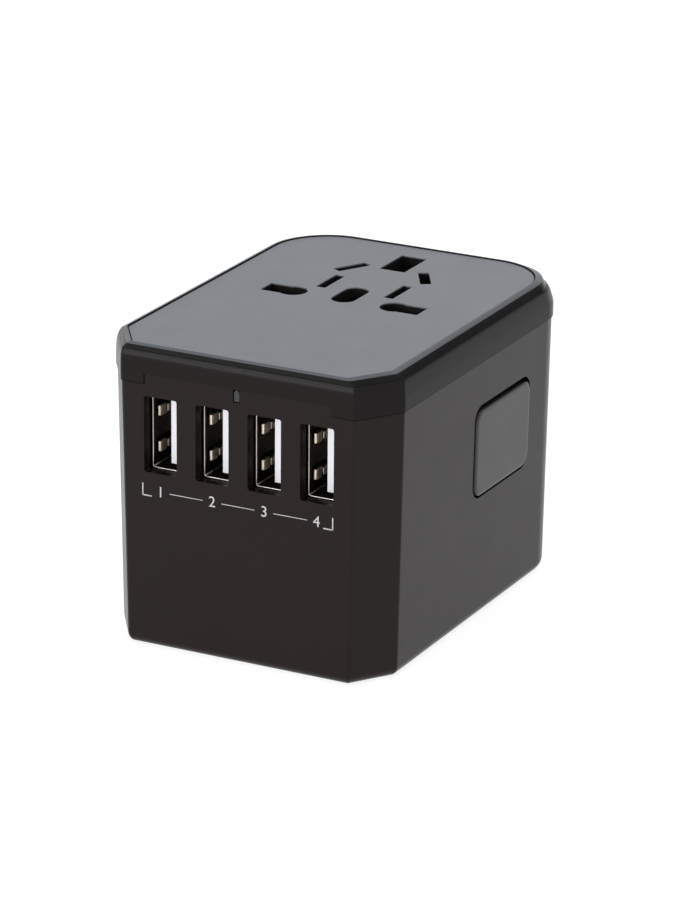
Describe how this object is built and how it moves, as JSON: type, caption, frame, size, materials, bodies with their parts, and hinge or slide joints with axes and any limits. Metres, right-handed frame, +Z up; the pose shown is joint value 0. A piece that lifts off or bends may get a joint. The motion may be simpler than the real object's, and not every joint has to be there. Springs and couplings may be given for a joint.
{
  "type": "universal travel adapter",
  "caption": "Box-shaped travel plug adapter with a multi-standard socket on top, retractable plug pins below, a USB port row in front and a side release button.",
  "frame": {"origin": "middle of the plug face, on which the adapter stands", "axes": "+Z up through the socket face, -Y out of the USB face, +X out of the side with the release button"},
  "size_m": [0.053, 0.0704, 0.0524],
  "materials": {
    "casing": "fine matt texture",
    "panel": "fine matt texture, grey",
    "button": "satin",
    "inner_plastic": "moulded",
    "shutter": "moulded",
    "white_plastic": "moulded",
    "clear_plastic": "clear, frosted end",
    "capacitor_sleeve": "shrink sleeve",
    "circuit_board": "solder mask",
    "ferrite": "sintered core and tape",
    "ceramic": "glazed",
    "steel": "plated sheet",
    "brass": "satin",
    "nickel": "nickel plated"
  },
  "bodies": {
    "casing": {"main_housing": "casing", "top_cover": "casing", "socket_panel": "panel", "base_plate": "casing", "base_screw_1": "steel", "base_screw_2": "steel", "base_screw_3": "steel", "base_screw_4": "steel", "guide_post_1": "steel", "guide_post_2": "steel", "guide_post_3": "steel", "guide_post_4": "steel", "inner_frame": "inner_plastic", "line_contact": "brass", "neutral_contact": "brass", "earth_contact": "brass", "usb_shell_1": "steel", "usb_shell_2": "steel", "usb_shell_3": "steel", "usb_shell_4": "steel", "usb_tongue_1": "white_plastic", "usb_tongue_2": "white_plastic", "usb_tongue_3": "white_plastic", "usb_tongue_4": "white_plastic", "usb_board": "circuit_board", "power_board": "circuit_board", "transformer": "ferrite", "input_capacitor": "capacitor_sleeve", "output_capacitor": "capacitor_sleeve", "fuse": "ceramic", "light_pipe": "clear_plastic", "status_led": "white_plastic", "shutter_spring": "steel", "button_spring": "steel"},
    "uk_plug": {"uk_carriage": "inner_plastic", "uk_line_pin": "brass", "uk_neutral_pin": "brass", "uk_earth_pin": "brass", "uk_slider_knob": "button"},
    "eu_plug": {"eu_carriage": "inner_plastic", "eu_line_pin": "nickel", "eu_neutral_pin": "nickel", "eu_slider_knob": "button"},
    "us_plug": {"us_carriage": "inner_plastic", "us_slider_knob": "button"},
    "line_blade": {"us_line_blade": "brass"},
    "neutral_blade": {"us_neutral_blade": "brass"},
    "button": {"release_button": "button", "latch_bar": "inner_plastic"},
    "shutter": {"safety_shutter": "shutter"}
  },
  "joints": [
    {"name": "uk_plug_slide", "type": "slide", "parent": "casing", "child": "uk_plug", "axis": [0, 0, -1], "range_m": [0, 0.0232]},
    {"name": "eu_plug_slide", "type": "slide", "parent": "casing", "child": "eu_plug", "axis": [0, 0, -1], "range_m": [0, 0.0195]},
    {"name": "us_plug_slide", "type": "slide", "parent": "casing", "child": "us_plug", "axis": [0, 0, -1], "range_m": [0, 0.0164]},
    {"name": "line_blade_swivel", "type": "hinge", "parent": "us_plug", "child": "line_blade", "pos_m": [0.00635, 0.0171, 0.0225], "axis": [0, 0, 1], "range_deg": [0, 30]},
    {"name": "neutral_blade_swivel", "type": "hinge", "parent": "us_plug", "child": "neutral_blade", "pos_m": [-0.00635, 0.0171, 0.0225], "axis": [0, 0, -1], "range_deg": [0, 30]},
    {"name": "button_press", "type": "slide", "parent": "casing", "child": "button", "axis": [-1, 0, 0], "range_m": [0, 0.0018], "stiffness_N_per_m": 600, "springref_m": -0.002, "deforming": ["button_spring"]},
    {"name": "shutter_slide", "type": "slide", "parent": "casing", "child": "shutter", "axis": [0, -1, 0], "range_m": [0, 0.0056], "stiffness_N_per_m": 120, "springref_m": -0.003, "deforming": ["shutter_spring"]}
  ]
}
